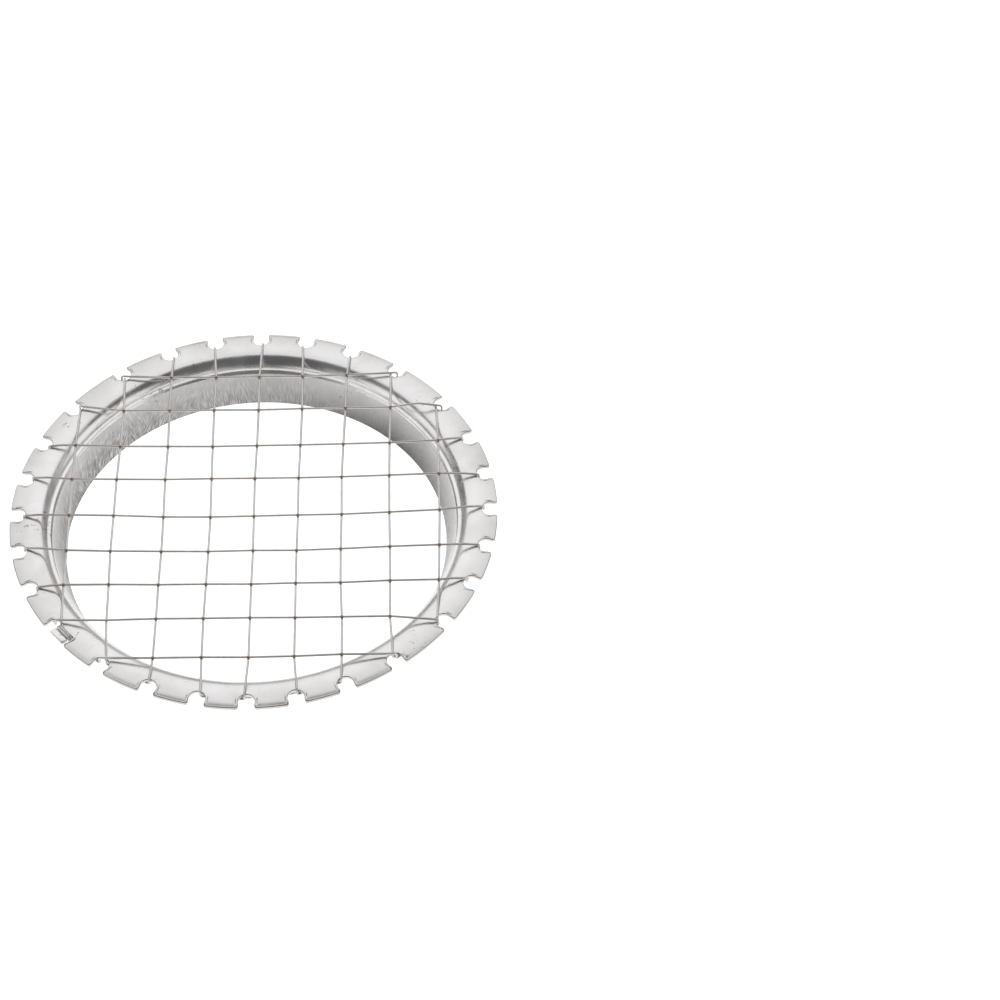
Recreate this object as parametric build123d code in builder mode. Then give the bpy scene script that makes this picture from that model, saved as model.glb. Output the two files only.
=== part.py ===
"""Hand grid cutter: a pressed metal ring whose notched flange is laced with thin wire.

Frame: millimetres, +Z up. The origin is on the ring's axis, in the plane of the
skirt's lower edge, which is the face that the ring stands on.

One wire runs to and fro between the notches, nine passes along Y and then nine
along X, and loops under one tooth of the flange between each pass and the next.
It is divided in the middle of the sheet, where it goes down through a notch.
"""
import os
from math import atan2, cos, degrees, radians, sin, sqrt

from build123d import *

os.makedirs("parts", exist_ok=True)

# ---- driving dimensions -------------------------------------------------
cell = 10.0                  # pitch of the wires
notch_pitch_radius = 5 * cell  # notch bottoms: a 3-4-5 layout puts them on the grid
sheet = 0.8                  # thickness of the pressed sheet
flange_top = 11.0            # height of the flange's crest above the skirt's edge
tip_radius = 53.4            # over the teeth
skirt_radius = 42.0          # inside the skirt at its lower edge
wire_diameter = 0.5

# Notch: a round bulb that opens outwards through a slightly narrower mouth.
bulb_radius = 1.8
bulb_centre = notch_pitch_radius + bulb_radius
mouth_width = 3.4
tooth_corner = 0.5

# Tie lug: one tooth corner cut down to a neck with a hammer head on it.
lug_offset = 2.75            # along the rim, from the notch beside it
lug_cut_width = 4.9
lug_cut_radius = 50.6
neck_width = 3.4
head_length = 4.4
head_inner_radius = 51.75
head_corner = 0.5

# Wire
wire_radius = wire_diameter / 2
rub = 0.03                   # gap between wire and sheet
weld_sink = 0.08             # how far crossing wires are pressed together
bend = 0.4                   # bend radius where the wire turns down
bow_radius = 200.0           # a pass is bowed, not kinked
knee_radius = 6.0
knee_length = 3.2            # stretch over which an upper pass comes down to the flange
inner_lane = (50.4, 0.45)    # seat in a notch: radius, shift towards the looped tooth
outer_lane = (51.0, 0.9)     # seat of the second wire in a shared notch
tie_inner_radius = 50.92     # the two strands that lie side by side over the neck
tie_outer_radius = 51.44
tie_gap = 0.33               # from the neck's side to a strand's axis

# ---- derived levels -----------------------------------------------------
level_joint = flange_top - sheet / 2
level_under = flange_top - sheet - rub - wire_radius
level_lower = flange_top + rub + wire_radius
level_upper = level_lower + wire_diameter - weld_sink

# How far the middle of each pass is bowed sideways, as laid by hand.
bows_along_y = {-4: -0.4, -3: -0.7, -2: 0.25, -1: 0.4, 0: 0.05, 1: -0.3, 2: -0.8, 3: -0.3, 4: 0.8}
bows_along_x = {4: -0.6, 3: -0.6, 2: -1.5, 1: -1.0, 0: -1.9, -1: -1.7, -2: -0.9, -3: -0.1, -4: -0.6}


# ---- layout of the notches and of the wire ------------------------------
def reach(index):
    """Distance from the centre line to the notch bottom of grid line `index`."""
    return sqrt(25 - index * index) * cell


def bearing(x, y):
    """Direction of a point round the ring's axis, in degrees."""
    return degrees(atan2(y, x)) % 360


def around(radius, angle, height):
    """Point at a radius, direction and height."""
    return (radius * cos(radians(angle)), radius * sin(radians(angle)), height)


def along_rim(radius, length):
    """Angle in degrees that a length along the rim takes at a radius."""
    return degrees(length / radius)


def notch_bearings():
    """Directions of the 28 notches: both ends of every pass, shared ones once."""
    ends = set()
    for index in range(-4, 5):
        for side in (-1, 1):
            ends.add(round(bearing(index * cell, side * reach(index)), 6))
            ends.add(round(bearing(side * reach(index), index * cell), 6))
    return sorted(ends)


def lacing():
    """The 18 passes in the order of the wire, with the notches they start and end in."""
    passes = []
    for count, index in enumerate(range(-4, 5), start=1):
        near = bearing(index * cell, -reach(index))
        far = bearing(index * cell, reach(index))
        start, end = (near, far) if count % 2 else (far, near)
        passes.append((f"v{count}", index, start, end))
    for count, index in enumerate(range(4, -5, -1), start=1):
        left = bearing(-reach(index), index * cell)
        right = bearing(reach(index), index * cell)
        start, end = (right, left) if count % 2 else (left, right)
        passes.append((f"h{count}", index, start, end))
    return passes


lug_notch = bearing(-4 * cell, -3 * cell)
lug_bearing = lug_notch + along_rim(tip_radius, lug_offset)
lug_tooth = bearing(-1, -1)


def seat(name, index, notch, towards, height):
    """Where a pass goes down through its notch, hugging the tooth it loops under."""
    shared = name.startswith("h") and abs(index) in (3, 4)
    radius, shift = outer_lane if shared else inner_lane
    turn = (towards - notch + 180) % 360 - 180
    side = 1 if turn > 0 else -1
    return around(radius, notch + side * along_rim(radius, shift), height)


def between(start, end, share):
    """Point at a share of the way between two points, level with the first."""
    x = start[0] + (end[0] - start[0]) * share
    y = start[1] + (end[1] - start[1]) * share
    return (x, y, start[2])


# ---- pieces ---------------------------------------------------------------
def pressed_ring():
    """Toothed flange, fold, ledge and skirt, all one sheet."""
    upper_face = [
        (tip_radius + 0.8, flange_top - 0.3),
        (tip_radius - 1.0, flange_top),
        (49.4, flange_top),
        (46.5, flange_top - 0.45),
        (45.1, flange_top - 1.85),
        (44.8, flange_top - 2.9),
        (44.3, flange_top - 3.4),
        (skirt_radius, 0),
    ]
    bends = [2.0, 6.0, 1.0, 1.2, 0.8, 1.0]
    with BuildPart() as ring:
        with BuildSketch(Plane.XZ):
            with BuildLine():
                FilletPolyline(*upper_face, radius=bends)
                offset(amount=sheet, side=Side.LEFT)
            make_face()
        revolve(axis=Axis.Z)
        with BuildSketch() as outline:
            Circle(tip_radius)
            for angle in notch_bearings():
                with Locations(Location((0, 0, 0), (0, 0, angle))):
                    with Locations((bulb_centre, 0)):
                        Circle(bulb_radius, mode=Mode.SUBTRACT)
                        Rectangle(5, mouth_width, align=(Align.MIN, Align.CENTER), mode=Mode.SUBTRACT)
            rim_corners = [
                corner
                for corner in outline.vertices()
                if Vector(corner.X, corner.Y).length > tip_radius - 0.01
            ]
            fillet(rim_corners, tooth_corner)
            with Locations(Location((0, 0, 0), (0, 0, lug_bearing))):
                with Locations((lug_cut_radius, 0)):
                    Rectangle(5, lug_cut_width, align=(Align.MIN, Align.CENTER), mode=Mode.SUBTRACT)
                    Rectangle(2, neck_width, align=(Align.MIN, Align.CENTER))
                with Locations(((head_inner_radius + tip_radius) / 2, 0)):
                    RectangleRounded(tip_radius - head_inner_radius, head_length, head_corner)
        extrude(amount=flange_top + sheet, mode=Mode.INTERSECT)
    return ring


def strand(points, bends):
    """A length of wire along straight runs joined by tangent arcs."""
    with BuildPart() as wire:
        with BuildLine() as route:
            FilletPolyline(*points, radius=bends)
        with BuildSketch(Plane(origin=route.line @ 0, z_dir=route.line % 0)):
            Circle(wire_radius)
        sweep(path=route.line)
    return wire


def lower_pass(index, start, end):
    """A pass along Y, which lies on the flange."""
    top_start = (start[0], start[1], level_lower)
    top_end = (end[0], end[1], level_lower)
    middle = (index * cell + bows_along_y[index], 0, level_lower)
    return strand([start, top_start, middle, top_end, end], [bend, bow_radius, bend])


def upper_pass(index, start, end):
    """A pass along X, which lies on the passes along Y."""
    middle = (0, index * cell + bows_along_x[index], level_upper)
    if abs(index) in (3, 4):
        top_start = (start[0], start[1], level_upper)
        top_end = (end[0], end[1], level_upper)
        return strand([start, top_start, middle, top_end, end], [bend, bow_radius, bend])
    top_start = (start[0], start[1], level_lower)
    top_end = (end[0], end[1], level_lower)
    share = knee_length / reach(index)
    first = between(top_start, middle, share)[:2] + (level_upper,)
    last = between(top_end, middle, share)[:2] + (level_upper,)
    points = [start, top_start, first, middle, last, top_end, end]
    return strand(points, [bend, knee_radius, bow_radius, knee_radius, bend])


def turn_under_tooth(start, end):
    """The wire between two passes: down, across under the tooth and up again."""
    low_start = (start[0], start[1], level_under)
    low_end = (end[0], end[1], level_under)
    return strand([start, low_start, low_end, end], [bend, bend])


def tie_on_lug(start, radius):
    """An end of the wire: under the tooth, up beside the neck, over it and down."""
    half = neck_width / 2 + tie_gap
    beyond = lug_bearing + along_rim(radius, half)
    before = lug_bearing - along_rim(radius, half)
    points = [
        start,
        (start[0], start[1], level_under),
        around(radius, beyond, level_under),
        around(radius, beyond, level_lower),
        around(radius, before, level_lower),
        around(radius, before, level_joint),
    ]
    return strand(points, [bend, bend, bend, bend])


def keep(piece, name):
    """Label a finished piece and write it out."""
    piece.part.label = name
    export_step(piece.part, f"parts/{name}.step")


# ---- assembly ---------------------------------------------------------------
frame_ring = pressed_ring()
keep(frame_ring, "frame_ring")

passes = lacing()
entries = []
exits = []
for place, (name, index, start, end) in enumerate(passes):
    came_from = passes[place - 1][3] if place > 0 else lug_tooth
    goes_to = passes[place + 1][2] if place + 1 < len(passes) else lug_tooth
    entries.append(seat(name, index, start, came_from, level_joint))
    exits.append(seat(name, index, end, goes_to, level_joint))

for place, (name, index, _, _) in enumerate(passes):
    lay = lower_pass if name.startswith("v") else upper_pass
    wire_pass = lay(index, entries[place], exits[place])
    keep(wire_pass, f"wire_pass_{name}")

for place in range(len(passes) - 1):
    wire_turn = turn_under_tooth(exits[place], entries[place + 1])
    keep(wire_turn, f"wire_turn_{place + 1:02d}")

tie_first = tie_on_lug(entries[0], tie_inner_radius)
keep(tie_first, "wire_tie_first")
tie_last = tie_on_lug(exits[-1], tie_outer_radius)
keep(tie_last, "wire_tie_last")
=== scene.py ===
"""Looks of the hand grid cutter: a pressed ring, its flange laced with spot-welded wire.

Sizes are written in millimetres, as on the part, and turned into metres by MM.
The frame is the part's own: +Z up, origin on the ring's axis at the skirt's edge.
"""
import random
from math import asin, atan2, ceil, cos, degrees, exp, pi, radians, sin, sqrt, tan

import bmesh
import bpy
from mathutils import Matrix, Quaternion, Vector


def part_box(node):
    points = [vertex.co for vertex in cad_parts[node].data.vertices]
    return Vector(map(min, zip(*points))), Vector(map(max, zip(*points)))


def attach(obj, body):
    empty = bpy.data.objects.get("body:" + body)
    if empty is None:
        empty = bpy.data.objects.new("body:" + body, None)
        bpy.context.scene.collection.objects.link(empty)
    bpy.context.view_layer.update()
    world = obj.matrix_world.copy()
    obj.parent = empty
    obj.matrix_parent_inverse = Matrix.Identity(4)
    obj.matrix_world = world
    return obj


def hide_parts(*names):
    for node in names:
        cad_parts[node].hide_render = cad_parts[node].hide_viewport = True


MM = 0.001

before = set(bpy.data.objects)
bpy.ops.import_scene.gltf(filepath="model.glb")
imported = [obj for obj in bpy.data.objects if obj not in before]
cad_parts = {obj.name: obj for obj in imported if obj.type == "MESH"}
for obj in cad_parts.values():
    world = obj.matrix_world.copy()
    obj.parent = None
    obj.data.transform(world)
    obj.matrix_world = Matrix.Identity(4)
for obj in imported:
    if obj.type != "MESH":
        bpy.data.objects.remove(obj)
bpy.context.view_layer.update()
stand_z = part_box("frame_ring")[0][2]
scene = bpy.context.scene
hand = random.Random(7)

# ---- sizes of the part ----------------------------------------------------
CELL = 10.0
SHEET = 0.8
FLANGE_TOP = 11.0
TIP = 53.4
SKIRT = 42.0
WIRE = 0.25                    # radius
BULB = 1.8
BULB_CENTRE = 51.8
HALF_MOUTH = 1.7
CORNER = 0.5
EDGE = 0.2                     # rounding of the sheet's edges
LIP = 0.06                     # burr that the punch leaves along the edges
INNER_CIRCLE = 48.5            # where the teeth's columns meet the round of the ring
EDGE_BAND = 0.55               # strip along a tooth's edge that follows its outline
GROOVE = 0.36                  # from the edge to the foot of the burr
WALL_TOP = FLANGE_TOP - 3.4    # where the drawn wall begins
WALL_BLEND = 0.6               # height over which the wall's finish comes in
WALL_RADIUS = 43.0             # on which the wall's streaks are unrolled

LUG_OFFSET = 2.75
LUG_CUT = 50.6
HALF_LUG_CUT = 2.45
HALF_NECK = 1.7
HEAD_INNER = 51.75
HEAD_LENGTH = 4.4
HEAD_BEVEL = 0.35
HEAD_LIFT = 0.22               # the head is bent up a little
NECK_BEVEL = 0.2

RUB = 0.03
WELD_SINK = 0.08
BEND = 0.4
KNEE_LENGTH = 3.2
INNER_LANE = (50.4, 0.45)
OUTER_LANE = (51.0, 0.9)
TIE_RADII = (50.92, 51.44)
TIE_GAP = 0.33

LEVEL_JOINT = FLANGE_TOP - SHEET / 2
LEVEL_UNDER = FLANGE_TOP - SHEET - RUB - WIRE
LEVEL_LOWER = FLANGE_TOP + RUB + WIRE
LEVEL_UPPER = LEVEL_LOWER + 2 * WIRE - WELD_SINK

BOWS_ALONG_Y = {-4: -0.4, -3: -0.7, -2: 0.25, -1: 0.4, 0: 0.05, 1: -0.3, 2: -0.8, 3: -0.3, 4: 0.8}
BOWS_ALONG_X = {4: -0.6, 3: -0.6, 2: -1.5, 1: -1.0, 0: -1.9, -1: -1.7, -2: -0.9, -3: -0.1, -4: -0.6}

HUMPS = {"h2": 1.1}            # a pass that stands up over the flange near its end
HUMP_PLACE = 0.45              # share of the way in from that end
HUMP_BEND = 6.0
PASS_BEND = 14.0               # how gently a pass turns at a crossing
KNEE_BEND = 5.0
KINK = 0.15                    # sideways play of a crossing
UNWELDED = (-3, -3)            # the one crossing without a weld, column and row

WIRE_STEP = 0.22               # spacing of the wire's rings of points
WIRE_SIDES = 12
WELD_REACH = 0.55              # how far from a weld the wire is tinted and swollen
WELD_SWELL = 0.22              # share by which the wire is thicker at a weld


# ---- camera -----------------------------------------------------------------
def place_camera():
    """Looks down on the ring at 50 degrees, with the ring left of the middle."""
    turn = radians(1.09)
    rise = radians(49.72)
    right = Vector((cos(turn), -sin(turn), 0))
    ahead = Vector((sin(turn), cos(turn), 0))
    up = ahead * sin(rise) + Vector((0, 0, cos(rise)))
    back = Vector((0, 0, sin(rise))) - ahead * cos(rise)
    target = Vector((0, 0, FLANGE_TOP * MM)) + right * 0.05394 + up * 0.00257
    data = bpy.data.cameras.new("camera")
    data.lens = 112.96
    data.sensor_width = 36
    data.clip_start = 0.01
    camera = bpy.data.objects.new("camera", data)
    basis = Matrix((right, up, back)).transposed().to_4x4()
    camera.matrix_world = Matrix.Translation(target + back * 0.6881) @ basis
    scene.collection.objects.link(camera)
    scene.camera = camera


# ---- layout of the notches and of the wire ------------------------------------
def reach(index):
    """Distance from the centre line to the notch bottom of a grid line."""
    return sqrt(25 - index * index) * CELL


def bearing(x, y):
    """Direction of a point round the ring's axis, in radians."""
    return atan2(y, x) % (2 * pi)


def around(radius, angle, height):
    """Point at a radius, direction and height."""
    return Vector((radius * cos(angle), radius * sin(angle), height))


def notch_bearings():
    """Directions of the notches: both ends of every pass, shared ones once."""
    ends = set()
    for index in range(-4, 5):
        for side in (-1, 1):
            ends.add(round(bearing(index * CELL, side * reach(index)), 7))
            ends.add(round(bearing(side * reach(index), index * CELL), 7))
    return sorted(ends)


def lacing():
    """The passes in the order of the wire, with the notches they start and end in."""
    passes = []
    for count, index in enumerate(range(-4, 5), start=1):
        near = bearing(index * CELL, -reach(index))
        far = bearing(index * CELL, reach(index))
        start, end = (near, far) if count % 2 else (far, near)
        passes.append((f"v{count}", index, start, end))
    for count, index in enumerate(range(4, -5, -1), start=1):
        left = bearing(-reach(index), index * CELL)
        right = bearing(reach(index), index * CELL)
        start, end = (right, left) if count % 2 else (left, right)
        passes.append((f"h{count}", index, start, end))
    return passes


LUG_NOTCH = bearing(-4, -3)
LUG = LUG_NOTCH + LUG_OFFSET / TIP
LUG_TOOTH = bearing(-1, -1)


def seat(name, index, notch, towards):
    """Where a pass goes down through its notch, hugging the tooth it loops under."""
    shared = name.startswith("h") and abs(index) in (3, 4)
    radius, shift = OUTER_LANE if shared else INNER_LANE
    turn = (towards - notch + pi) % (2 * pi) - pi
    side = 1 if turn > 0 else -1
    return around(radius, notch + side * shift / radius, LEVEL_JOINT)


def at_height(point, height):
    """The same point at another height."""
    return Vector((point[0], point[1], height))


# ---- shaping helpers ------------------------------------------------------------
def rounded(points, radii, steps=6):
    """Points along a polyline whose inner corners are rounded by arcs."""
    line = [Vector(points[0])]
    for before, corner, after, radius in zip(points, points[1:], points[2:], radii):
        corner = Vector(corner)
        into = (corner - Vector(before)).normalized()
        away = (Vector(after) - corner).normalized()
        turn = into.angle(away)
        if turn < 0.0005:
            line.append(corner)
            continue
        centre = corner + (away - into).normalized() * radius / cos(turn / 2)
        arm = corner - into * radius * tan(turn / 2) - centre
        axis = into.cross(away).normalized()
        for step in range(steps + 1):
            line.append(centre + Quaternion(axis, turn * step / steps) @ arm)
    line.append(Vector(points[-1]))
    return line


def evenly(line, spacing):
    """The same line with points at an even spacing."""
    lengths = [0.0]
    for one, other in zip(line, line[1:]):
        lengths.append(lengths[-1] + (other - one).length)
    count = max(2, ceil(lengths[-1] / spacing))
    result = []
    place = 0
    for step in range(count + 1):
        want = lengths[-1] * step / count
        while place < len(line) - 2 and lengths[place + 1] < want:
            place += 1
        span = lengths[place + 1] - lengths[place]
        share = (want - lengths[place]) / span if span > 0 else 0
        result.append(line[place].lerp(line[place + 1], share))
    return result


def add_object(name, mesh, material, nodes):
    """Put a mesh in the scene as a piece of the object."""
    piece = bpy.data.objects.new(name, mesh)
    scene.collection.objects.link(piece)
    for polygon in mesh.polygons:
        polygon.use_smooth = True
    mesh.materials.append(material)
    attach(piece, "root")
    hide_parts(*nodes)
    return piece


def set_attribute(mesh, name, values):
    """A number for every point of a mesh, read by its material."""
    attribute = mesh.attributes.new(name, "FLOAT", "POINT")
    attribute.data.foreach_set("value", values)


# ---- materials --------------------------------------------------------------------
def new_material(name):
    """An empty node material with its output and principled shader."""
    material = bpy.data.materials.new(name)
    material.use_nodes = True
    nodes = material.node_tree.nodes
    return material, nodes, material.node_tree.links, nodes["Principled BSDF"]


def noise_node(nodes, links, scale, detail, distortion=0.0):
    """Noise in the part's own coordinates; returns its value socket."""
    place = nodes.new("ShaderNodeTexCoord")
    texture = nodes.new("ShaderNodeTexNoise")
    texture.inputs["Scale"].default_value = scale
    texture.inputs["Detail"].default_value = detail
    texture.inputs["Distortion"].default_value = distortion
    links.new(place.outputs["Object"], texture.inputs["Vector"])
    return texture.outputs["Fac"]


def drawn_noise(nodes, links, across, along, slant, detail, distortion):
    """Streaks on the wall, unrolled round the axis; their width, length and slant are set."""
    place = nodes.new("ShaderNodeTexCoord")
    split = nodes.new("ShaderNodeSeparateXYZ")
    turn = nodes.new("ShaderNodeMath")
    turn.operation = "ARCTAN2"
    arc = nodes.new("ShaderNodeMath")
    arc.operation = "MULTIPLY"
    arc.inputs[1].default_value = WALL_RADIUS * MM
    join = nodes.new("ShaderNodeCombineXYZ")
    mapping = nodes.new("ShaderNodeMapping")
    mapping.vector_type = "TEXTURE"
    mapping.inputs["Scale"].default_value = (across * MM, along * MM, 1)
    mapping.inputs["Rotation"].default_value = (0, 0, radians(slant))
    texture = nodes.new("ShaderNodeTexNoise")
    texture.inputs["Scale"].default_value = 1.0
    texture.inputs["Detail"].default_value = detail
    texture.inputs["Distortion"].default_value = distortion
    links.new(place.outputs["Object"], split.inputs["Vector"])
    links.new(split.outputs["X"], turn.inputs[0])
    links.new(split.outputs["Y"], turn.inputs[1])
    links.new(turn.outputs[0], arc.inputs[0])
    links.new(arc.outputs[0], join.inputs["X"])
    links.new(split.outputs["Z"], join.inputs["Y"])
    links.new(join.outputs["Vector"], mapping.inputs["Vector"])
    links.new(mapping.outputs["Vector"], texture.inputs["Vector"])
    return texture.outputs["Fac"]


def ramp_node(nodes, links, value, stops):
    """A colour ramp over a value; stops are (position, grey or colour)."""
    ramp = nodes.new("ShaderNodeValToRGB")
    elements = ramp.color_ramp.elements
    while len(elements) < len(stops):
        elements.new(0.5)
    for element, (position, colour) in zip(elements, stops):
        element.position = position
        shade = colour if isinstance(colour, tuple) else (colour, colour, colour)
        element.color = (*shade, 1)
    links.new(value, ramp.inputs["Fac"])
    return ramp.outputs["Color"]


def mix_node(nodes, links, factor, first, second, blend="MIX"):
    """Mix two colours; each may be a socket or a colour."""
    mix = nodes.new("ShaderNodeMix")
    mix.data_type = "RGBA"
    mix.blend_type = blend
    for value, socket in ((factor, mix.inputs[0]), (first, mix.inputs[6]), (second, mix.inputs[7])):
        if isinstance(value, bpy.types.NodeSocket):
            links.new(value, socket)
        elif isinstance(value, tuple):
            socket.default_value = (*value, 1)
        else:
            socket.default_value = value
    return mix.outputs[2]


def maths_node(nodes, links, operation, first, second):
    """Arithmetic on two numbers; each may be a socket or a number."""
    node = nodes.new("ShaderNodeMath")
    node.operation = operation
    node.use_clamp = True
    for value, socket in ((first, node.inputs[0]), (second, node.inputs[1])):
        if isinstance(value, bpy.types.NodeSocket):
            links.new(value, socket)
        else:
            socket.default_value = value
    return node.outputs[0]


def attribute_node(nodes, name):
    """The value of a point attribute of the mesh."""
    node = nodes.new("ShaderNodeAttribute")
    node.attribute_name = name
    return node.outputs["Fac"]


def bump_node(nodes, links, height, strength, distance, before=None):
    """Bump from a height; strength may be a socket."""
    bump = nodes.new("ShaderNodeBump")
    bump.inputs["Distance"].default_value = distance
    if isinstance(strength, bpy.types.NodeSocket):
        links.new(strength, bump.inputs["Strength"])
    else:
        bump.inputs["Strength"].default_value = strength
    links.new(height, bump.inputs["Height"])
    if before is not None:
        links.new(before, bump.inputs["Normal"])
    return bump.outputs["Normal"]


def ring_material():
    """Bright pressed sheet: smudged satin flange, drawn and scratched wall, with painted shade on the wall
    and a painted dark line along the edges.
    """
    material, nodes, links, shader = new_material("pressed sheet")
    wall = attribute_node(nodes, "wall")
    edge = attribute_node(nodes, "edge")

    smudge = noise_node(nodes, links, 85, 6, distortion=0.6)
    cloud = ramp_node(nodes, links, smudge, [(0.32, (0.60, 0.585, 0.575)), (0.62, (0.74, 0.73, 0.725))])
    upright = drawn_noise(nodes, links, 0.19, 2.3, 7, 2, 0.5)
    slanted = drawn_noise(nodes, links, 0.20, 2.2, -38, 2, 0.4)
    patch = ramp_node(nodes, links, noise_node(nodes, links, 55, 1), [(0.44, 0.0), (0.56, 1.0)])
    scratch = mix_node(nodes, links, patch, upright, slanted)
    faint = (0.36, 0.345, 0.335)
    deep = ramp_node(nodes, links, scratch, [(0.37, (0.17, 0.165, 0.16)), (0.50, (0.36, 0.35, 0.345)),
                                             (0.62, (0.84, 0.825, 0.81))])
    wall_tone = mix_node(nodes, links, attribute_node(nodes, "grain"), faint, deep)
    # painted shade of the wall, multiplied into its colour
    wall_tone = mix_node(nodes, links, 1.0, wall_tone, attribute_node(nodes, "dulling"), "MULTIPLY")
    # the flange's colour is darkened by a fifth from the inner circle out to the tips
    rim = attribute_node(nodes, "rim")
    darker_at_tips = mix_node(nodes, links, 1.0, cloud, (0.80, 0.795, 0.79), "MULTIPLY")
    cloud = mix_node(nodes, links, rim, cloud, darker_at_tips)
    tone = mix_node(nodes, links, wall, cloud, wall_tone)

    speck = noise_node(nodes, links, 1150, 2)
    speck_where = noise_node(nodes, links, 120, 2)
    spots = ramp_node(nodes, links, maths_node(nodes, links, "MULTIPLY", speck, speck_where),
                      [(0.40, 0.0), (0.48, 0.6)])
    tone = mix_node(nodes, links, spots, tone, (0.22, 0.15, 0.10))
    # painted shade along the rounded edges: a dark line standing in for the rolled edge's dark reflection,
    # tinted brown like the cut edge
    edge_shade_and_tint = maths_node(nodes, links, "MULTIPLY", edge, 0.8)
    tone = mix_node(nodes, links, edge_shade_and_tint, tone, (0.30, 0.25, 0.22))
    links.new(tone, shader.inputs["Base Color"])
    shader.inputs["Metallic"].default_value = 1.0

    soft = ramp_node(nodes, links, smudge, [(0.30, 0.20), (0.70, 0.34)])
    rough_wall = ramp_node(nodes, links, scratch, [(0.36, 0.46), (0.64, 0.28)])
    links.new(mix_node(nodes, links, wall, soft, rough_wall), shader.inputs["Roughness"])

    orange_peel = noise_node(nodes, links, 420, 3)
    press_marks = noise_node(nodes, links, 60, 2)
    calm = bump_node(nodes, links, orange_peel, 0.18, 0.00012)
    wavy = bump_node(nodes, links, press_marks, 0.25, 0.0006, calm)
    depth = maths_node(nodes, links, "MULTIPLY", maths_node(nodes, links, "MULTIPLY", wall, 0.6),
                       attribute_node(nodes, "grain"))
    links.new(bump_node(nodes, links, scratch, depth, 0.00025, wavy), shader.inputs["Normal"])
    return material


def wire_material():
    """Bright drawn wire, with brown heat tint round each weld."""
    material, nodes, links, shader = new_material("drawn wire")
    heat = attribute_node(nodes, "weld_tint")
    grime = noise_node(nodes, links, 300, 3)
    steel = ramp_node(nodes, links, grime, [(0.3, (0.61, 0.585, 0.56)), (0.7, (0.71, 0.685, 0.66))])
    tint = ramp_node(nodes, links, heat, [(0.0, (1.0, 1.0, 1.0)), (0.3, (0.86, 0.77, 0.70)),
                                          (0.65, (0.58, 0.46, 0.40)), (1.0, (0.42, 0.29, 0.24))])
    links.new(mix_node(nodes, links, 1.0, steel, tint, "MULTIPLY"), shader.inputs["Base Color"])
    links.new(ramp_node(nodes, links, heat, [(0.0, 0.28), (1.0, 0.55)]), shader.inputs["Roughness"])
    shader.inputs["Metallic"].default_value = 0.6
    return material


def floor_material():
    """Plain pale studio sweep."""
    material, nodes, links, shader = new_material("studio floor")
    shade = noise_node(nodes, links, 4, 2)
    links.new(ramp_node(nodes, links, shade, [(0.3, 0.60), (0.7, 0.62)]), shader.inputs["Base Color"])
    shader.inputs["Roughness"].default_value = 0.9
    shader.inputs["Emission Color"].default_value = (1, 1, 1, 1)
    shader.inputs["Emission Strength"].default_value = 0.95
    return material


# ---- pressed ring -------------------------------------------------------------------
def arc_points(centre, radius, start, end, steps):
    """Points (along the rim, radius) on an arc; angles in degrees."""
    points = []
    for step in range(steps + 1):
        angle = radians(start + (end - start) * step / steps)
        points.append((centre[0] + radius * cos(angle), centre[1] + radius * sin(angle)))
    return points


def notch_outline(beside_lug):
    """Edge of one notch, from the tooth before it to the tooth after it."""
    mouth_angle = degrees(asin(sqrt(1 - (HALF_MOUTH / BULB) ** 2)))
    before = arc_points((-HALF_MOUTH - CORNER, TIP - CORNER), CORNER, 90, 0, 5)
    if not beside_lug:
        bulb = arc_points((0, BULB_CENTRE), BULB, 180 - mouth_angle, 360 + mouth_angle, 20)
        after = arc_points((HALF_MOUTH + CORNER, TIP - CORNER), CORNER, 180, 90, 5)
        return before + bulb + after
    floor_angle = degrees(asin((BULB_CENTRE - LUG_CUT) / BULB))
    bulb = arc_points((0, BULB_CENTRE), BULB, 180 - mouth_angle, 360 - floor_angle, 16)
    cut_end = LUG_OFFSET + HALF_LUG_CUT
    floor_line = [(bulb[-1][0] + (cut_end - 0.3 - bulb[-1][0]) * share / 6, LUG_CUT) for share in range(1, 6)]
    inner_corner = arc_points((cut_end - 0.3, LUG_CUT + 0.3), 0.3, 270, 360, 4)
    side = [(cut_end, 51.5), (cut_end, 52.2)]
    after = arc_points((cut_end + CORNER, TIP - CORNER), CORNER, 180, 90, 5)
    return before + bulb + floor_line + inner_corner + side + after


def rim_outline():
    """Edge of the flange all round, and the places of the tooth centres in it."""
    bearings = notch_bearings()
    outline = []
    tooth_centres = []
    for place, notch in enumerate(bearings):
        beside_lug = abs(notch - LUG_NOTCH) < 0.001
        for along, radius in notch_outline(beside_lug):
            outline.append(around(radius, notch + along / radius, 0))
        following = bearings[(place + 1) % len(bearings)] + (2 * pi if place + 1 == len(bearings) else 0)
        first = notch + ((LUG_OFFSET + HALF_LUG_CUT if beside_lug else HALF_MOUTH) + CORNER) / TIP
        last = following - (HALF_MOUTH + CORNER) / TIP
        for step in range(1, 10):
            angle = first + (last - first) * step / 10
            if step == 5:
                tooth_centres.append((len(outline), angle))
            outline.append(around(TIP, angle, 0))
    return outline, tooth_centres


def column_bearings(outline, tooth_centres):
    """Where each column of the flange meets the inner circle, by length along the edge."""
    count = len(outline)
    result = [0.0] * count
    once_round = (tooth_centres[0][0] + count, tooth_centres[0][1] + 2 * pi)
    spans = zip(tooth_centres, tooth_centres[1:] + [once_round])
    for (first, angle), (last, next_angle) in spans:
        lengths = [0.0]
        for place in range(first, last):
            lengths.append(lengths[-1] + (outline[(place + 1) % count] - outline[place % count]).length)
        for place in range(first, last):
            share = lengths[place - first] / lengths[-1]
            result[place % count] = angle + (next_angle - angle) * share
    return result


def mitre(before, corner, after, distance):
    """Corner of the same outline at a distance to its left."""
    into = (corner - before).normalized()
    away = (after - corner).normalized()
    left_in = Vector((-into.z, 0, into.x))
    left_away = Vector((-away.z, 0, away.x))
    middle = (left_in + left_away).normalized()
    return corner + middle * distance / middle.dot(left_in)


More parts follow.
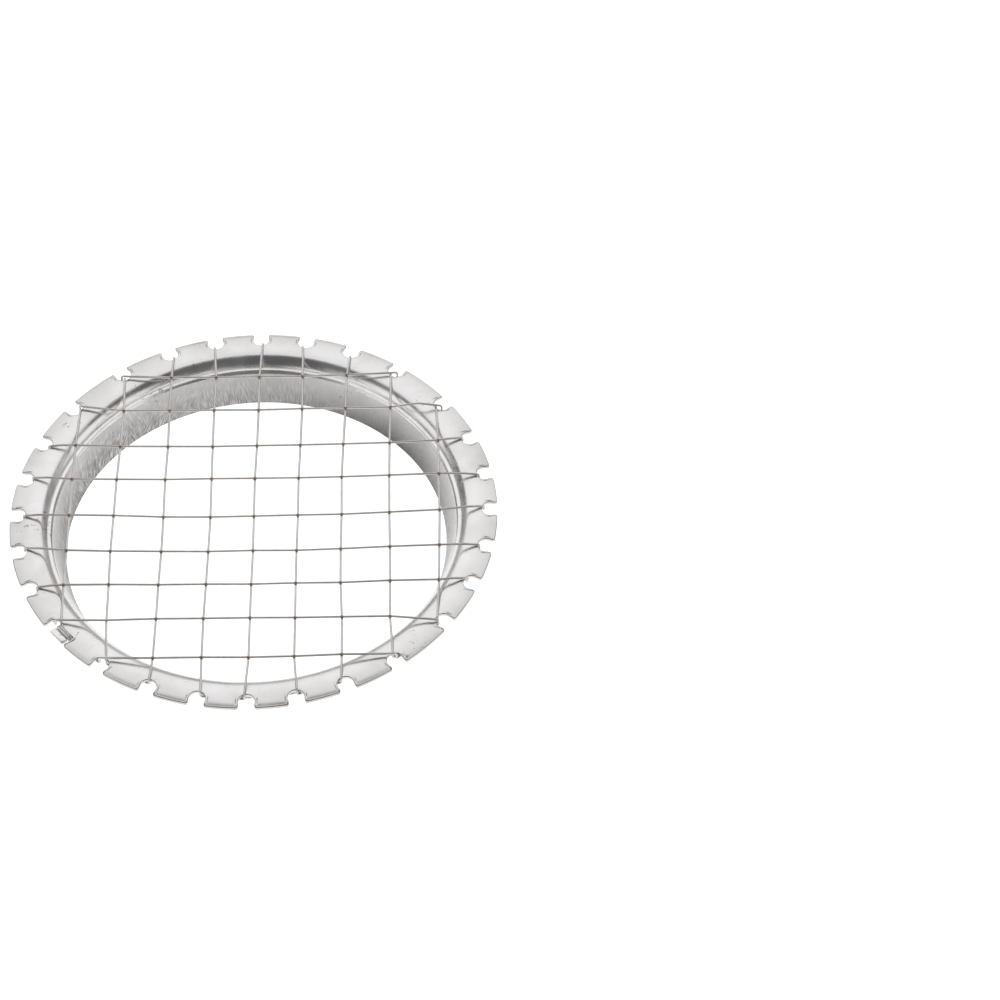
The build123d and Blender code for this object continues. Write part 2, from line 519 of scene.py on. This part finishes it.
def flange_height(radius):
    """Height of the flange's upper face beyond the inner circle."""
    for one, other in zip(FLANGE_LINE, FLANGE_LINE[1:]):
        if one.x <= radius <= other.x:
            return one.z + (other.z - one.z) * (radius - one.x) / (other.x - one.x)
    return FLANGE_LINE[-1].z


SLOPE_FOOT = Vector((46.5, 0, FLANGE_TOP - 0.45))
CREST = Vector((49.4, 0, FLANGE_TOP))
RIM_ROLL = Vector((TIP - 0.6, 0, FLANGE_TOP))
RIM_END = Vector((TIP + 0.8, 0, FLANGE_TOP - 0.3))
INNER_POINT = CREST.lerp(SLOPE_FOOT, (CREST.x - INNER_CIRCLE) / (CREST.x - SLOPE_FOOT.x))
FLANGE_LINE = rounded([INNER_POINT, CREST, RIM_ROLL, RIM_END], [6.0, 2.0], 8)


def ring_section():
    """Section inside the inner circle: fold, ledge, wall, lower edge and back outside."""
    fold_foot = Vector((45.1, 0, FLANGE_TOP - 1.85))
    step = Vector((44.8, 0, FLANGE_TOP - 2.9))
    shoulder = Vector((44.3, 0, FLANGE_TOP - 3.4))
    lower = Vector((SKIRT, 0, 0))
    inside = [INNER_POINT, SLOPE_FOOT, fold_foot, step, shoulder, lower]
    outside = [mitre(a, b, c, SHEET) for a, b, c in zip(inside, inside[1:], inside[2:])]
    under_end = INNER_POINT - Vector((0, 0, SHEET))
    wall_way = (lower - shoulder).normalized()
    foot = outside[-1] + wall_way * (outside[-1].z / -wall_way.z)
    path = inside + [foot] + outside[::-1] + [under_end]
    radii = [3.0, 3.0, 0.8, 1.0, EDGE, EDGE, 0.2, 1.6, 2.2, 2.2]
    return rounded(path, radii, 5)


def wall_shade_and_scoring(spot):
    """Painted shade of the drawn wall and how strongly it is scored, at a place on it: darker near its top,
    on its far right and on its left.
    """
    azimuth = degrees(atan2(spot.x, spot.y))
    depth = min(1.0, max(0.0, (FLANGE_TOP - 3.7 - spot.z) / 7.3))
    # painted shade: the wall is darkened where it faces between the far side and the right, and is also less
    # scored there
    shaded_less_scored = exp(-((azimuth - 48) / 30) ** 2)
    scored = exp(-((azimuth + 62) / 42) ** 2)
    # painted shade on the wall's left side
    side = exp(-((azimuth + 95) / 32) ** 2)
    # painted shade, darker towards the wall's top
    dulling = (0.40 + 0.46 * depth) * (1 - 0.62 * shaded_less_scored) * (1 - 0.34 * side)
    return dulling, 0.28 + 0.72 * scored - 0.12 * shaded_less_scored


def build_ring(material):
    """The pressed ring as one closed skin, with the lug's neck and head on it."""
    outline, tooth_centres = rim_outline()
    bearings = column_bearings(outline, tooth_centres)
    section = ring_section()
    count = len(outline)
    points = []
    walls = []
    edges = []
    rims = []
    rows = 0
    quarter = [radians(22.5 * step) for step in range(5)]
    for place in range(count):
        rim = outline[place]
        along = (outline[(place + 1) % count] - outline[place - 1]).normalized()
        inward = Vector((-along.y, along.x, 0))
        root = around(INNER_CIRCLE, bearings[place], 0)
        column = []
        for spot in section:
            wall = min(1.0, max(0.0, (WALL_TOP - spot.z) / WALL_BLEND))
            column.append((around(spot.x, bearings[place], spot.z), wall, 0.0))
        inset = rim + inward * EDGE_BAND
        for share in (0.25, 0.5, 0.75, 1.0):
            spot = root.lerp(inset, share)
            column.append((at_height(spot, flange_height(spot.length) - SHEET), 0.0, 0.0))
        edge_top = flange_height(rim.length) + LIP
        for angle in quarter:
            spot = rim + inward * EDGE * (1 - sin(angle))
            rise = EDGE * (1 - cos(angle))
            column.append((at_height(spot, edge_top - LIP - SHEET + rise), 0.0, sin(2 * angle)))
        for angle in reversed(quarter):
            spot = rim + inward * EDGE * (1 - sin(angle))
            column.append((at_height(spot, edge_top - EDGE * (1 - cos(angle))), 0.0, sin(2 * angle)))
        groove = rim + inward * GROOVE
        column.append((at_height(groove, flange_height(groove.length) - LIP / 2), 0.0, 0.0))
        for share in (1.0, 0.75, 0.5, 0.25):
            spot = root.lerp(inset, share)
            column.append((at_height(spot, flange_height(spot.length)), 0.0, 0.0))
        rows = len(column)
        for spot, wall, edge in column:
            points.append(spot * MM)
            walls.append(wall)
            edges.append(edge)
            rims.append(min(1.0, max(0.0, (spot.xy.length - INNER_CIRCLE) / (TIP - INNER_CIRCLE))))
    faces = []
    for place in range(count):
        here = place * rows
        beside = (place + 1) % count * rows
        for row in range(rows):
            above = (row + 1) % rows
            faces.append((here + row, beside + row, beside + above, here + above))
    mesh = bpy.data.meshes.new("pressed_ring")
    mesh.from_pydata(points, [], faces)
    set_attribute(mesh, "wall", walls)
    set_attribute(mesh, "edge", edges)
    set_attribute(mesh, "rim", rims)
    # painted shade and scoring strength for every point of the wall
    shades_and_scoring = [wall_shade_and_scoring(point / MM) for point in points]
    set_attribute(mesh, "dulling", [dulling for dulling, _ in shades_and_scoring])
    set_attribute(mesh, "grain", [grain for _, grain in shades_and_scoring])
    add_lug(mesh)
    return add_object("pressed_ring", mesh, material, ["frame_ring"])


def add_lug(mesh):
    """Neck and hammer head of the tie lug, left standing where the tooth is cut away."""
    form = bmesh.new()
    form.from_mesh(mesh)
    bmesh.ops.recalc_face_normals(form, faces=form.faces)
    head = ((HEAD_INNER + TIP) / 2, (TIP - HEAD_INNER, HEAD_LENGTH, SHEET), HEAD_BEVEL, HEAD_LIFT)
    neck = (LUG_CUT + 0.45, (2.3, 2 * HALF_NECK, SHEET - 0.05), NECK_BEVEL, 0.0)
    for radius, size, bevel, lift in (head, neck):
        centre = around(radius, LUG, FLANGE_TOP - SHEET / 2 + lift) * MM
        place = Matrix.Translation(centre) @ Matrix.Rotation(LUG, 4, "Z")
        scale = Matrix.Diagonal((size[0] * MM, size[1] * MM, size[2] * MM, 1))
        made = bmesh.ops.create_cube(form, size=1.0, matrix=place @ scale)
        sides = {edge for corner in made["verts"] for edge in corner.link_edges}
        bmesh.ops.bevel(form, geom=list(sides), offset=bevel * MM, segments=4, profile=0.5, affect="EDGES")
    form.to_mesh(mesh)
    form.free()


# ---- laced wire -----------------------------------------------------------------------
def build_wire(name, line, welds, material):
    """A round wire along a line, swollen and heat-tinted at its welds."""
    line = evenly(line, WIRE_STEP)
    sides = WIRE_SIDES
    points = []
    heats = []
    forward = (line[1] - line[0]).normalized()
    across = forward.orthogonal().normalized()
    for place, spot in enumerate(line):
        ahead = line[min(place + 1, len(line) - 1)]
        behind = line[max(place - 1, 0)]
        way = (ahead - behind).normalized()
        across = (across - way * across.dot(way)).normalized()
        other = way.cross(across)
        nearest = min(((spot - weld).length for weld in welds), default=9.0)
        heat = max(0.0, 1 - nearest / WELD_REACH)
        radius = WIRE * (1 + WELD_SWELL * heat * heat)
        for side in range(sides):
            angle = 2 * pi * side / sides
            points.append((spot + (across * cos(angle) + other * sin(angle)) * radius) * MM)
            heats.append(heat)
    faces = [tuple(range(sides))[::-1]]
    for ring in range(len(line) - 1):
        for side in range(sides):
            beside = (side + 1) % sides
            here = ring * sides
            faces.append((here + side, here + beside, here + sides + beside, here + sides + side))
    faces.append(tuple(range(len(points) - sides, len(points))))
    mesh = bpy.data.meshes.new(name)
    mesh.from_pydata(points, [], faces)
    set_attribute(mesh, "weld_tint", heats)
    return add_object(name, mesh, material, [f"wire_{name}"])


def line_offset(bow, index, place):
    """Sideways place of a pass at a distance from its middle."""
    return index * CELL + bow * (1 - (place / reach(index)) ** 2)


def crossing(column, row):
    """Where a lower and an upper pass cross, in plan."""
    x = line_offset(BOWS_ALONG_Y[column], column, row * CELL)
    y = line_offset(BOWS_ALONG_X[row], row, column * CELL)
    return x, y


def build_lacing(material):
    """Eighteen passes, the turns between them and the two ties, in the wire's order."""
    passes = lacing()
    kinks = {}
    for column in range(-4, 5):
        for row in range(-4, 5):
            if column * column + row * row < 25:
                x, y = crossing(column, row)
                kinks[column, row] = (x + hand.uniform(-KINK, KINK), y + hand.uniform(-KINK, KINK))
    entries = []
    exits = []
    for place, (name, index, start, end) in enumerate(passes):
        came_from = passes[place - 1][3] if place > 0 else LUG_TOOTH
        goes_to = passes[place + 1][2] if place + 1 < len(passes) else LUG_TOOTH
        entries.append(seat(name, index, start, came_from))
        exits.append(seat(name, index, end, goes_to))
    for place, (name, index, _, _) in enumerate(passes):
        lower = name.startswith("v")
        level = LEVEL_LOWER if lower else LEVEL_UPPER
        middle = []
        for other in range(-4, 5):
            key = (index, other) if lower else (other, index)
            if key in kinks:
                middle.append((key, Vector((*kinks[key], level))))
        start, end = entries[place], exits[place]
        if (middle[0][1] - start).length > (middle[-1][1] - start).length:
            middle.reverse()
        knots = [spot for _, spot in middle]
        bends = [PASS_BEND] * len(knots)
        plain_end = lower or abs(index) in (3, 4)
        end_level = level if plain_end else LEVEL_LOWER
        tops = [at_height(start, end_level), at_height(end, end_level)]
        if not plain_end:
            share = KNEE_LENGTH / (knots[0] - tops[0]).length
            first = at_height(tops[0].lerp(knots[0], share), level)
            share = KNEE_LENGTH / (knots[-1] - tops[1]).length
            last = at_height(tops[1].lerp(knots[-1], share), level)
            knots = [first] + knots + [last]
            bends = [KNEE_BEND] + bends + [KNEE_BEND]
        if name in HUMPS:
            crest = tops[1].lerp(knots[-1], HUMP_PLACE)
            knots.append(crest + Vector((0, 0, HUMPS[name])))
            bends.append(HUMP_BEND)
        line = rounded([start, tops[0], *knots, tops[1], end], [BEND, *bends, BEND], 5)
        welds = [spot for key, spot in middle if key != UNWELDED]
        build_wire(f"pass_{name}", line, welds, material)
    for place in range(len(passes) - 1):
        start, end = exits[place], entries[place + 1]
        points = [start, at_height(start, LEVEL_UNDER), at_height(end, LEVEL_UNDER), end]
        build_wire(f"turn_{place + 1:02d}", rounded(points, [BEND, BEND]), [], material)
    ties = [("tie_first", entries[0], TIE_RADII[0]), ("tie_last", exits[-1], TIE_RADII[1])]
    for name, start, radius in ties:
        half = (HALF_NECK + TIE_GAP) / radius
        points = [
            start,
            at_height(start, LEVEL_UNDER),
            around(radius, LUG + half, LEVEL_UNDER),
            around(radius, LUG + half, LEVEL_LOWER),
            around(radius, LUG - half, LEVEL_LOWER),
            around(radius, LUG - half, LEVEL_JOINT),
        ]
        build_wire(name, rounded(points, [BEND] * 4), [], material)


# ---- studio ------------------------------------------------------------------------------
def build_floor():
    """Floor that the ring stands on."""
    mesh = bpy.data.meshes.new("floor")
    half = 3.0
    corners = [(-half, -half, stand_z), (half, -half, stand_z), (half, half, stand_z), (-half, half, stand_z)]
    mesh.from_pydata(corners, [], [(0, 1, 2, 3)])
    mesh.materials.append(floor_material())
    floor = bpy.data.objects.new("floor", mesh)
    scene.collection.objects.link(floor)


def soft_light(name, where, size, power, towards=(0, 0, 0)):
    """A soft box that faces a point."""
    data = bpy.data.lights.new(name, "AREA")
    data.shape = "RECTANGLE"
    data.size, data.size_y = size
    data.energy = power
    lamp = bpy.data.objects.new(name, data)
    lamp.location = where
    lamp.rotation_euler = (Vector(where) - Vector(towards)).to_track_quat("Z", "Y").to_euler()
    scene.collection.objects.link(lamp)


def light_studio():
    """High-key light: a large box behind and above, weaker ones at the sides."""
    world = bpy.data.worlds.new("studio")
    world.use_nodes = True
    world.node_tree.nodes["Background"].inputs["Color"].default_value = (0.93, 0.95, 1.0, 1)
    world.node_tree.nodes["Background"].inputs["Strength"].default_value = 0.14
    scene.world = world
    soft_light("back_box", (0.0, 0.75, 0.95), (1.7, 0.9), 5.4)
    soft_light("left_box", (-0.92, -0.12, 0.48), (1.05, 0.7), 2.7)
    soft_light("right_box", (0.92, -0.12, 0.5), (1.05, 0.7), 2.7)
    soft_light("back_card", (0.0, 1.2, 0.36), (2.4, 0.75), 3.4)
    soft_light("front_left_card", (-0.7, -0.85, 0.2), (0.8, 0.35), 1.3)
    soft_light("front_right_card", (0.7, -0.85, 0.2), (0.8, 0.35), 1.3)
    scene.view_settings.view_transform = "Standard"


place_camera()
build_ring(ring_material())
build_lacing(wire_material())
build_floor()
light_studio()
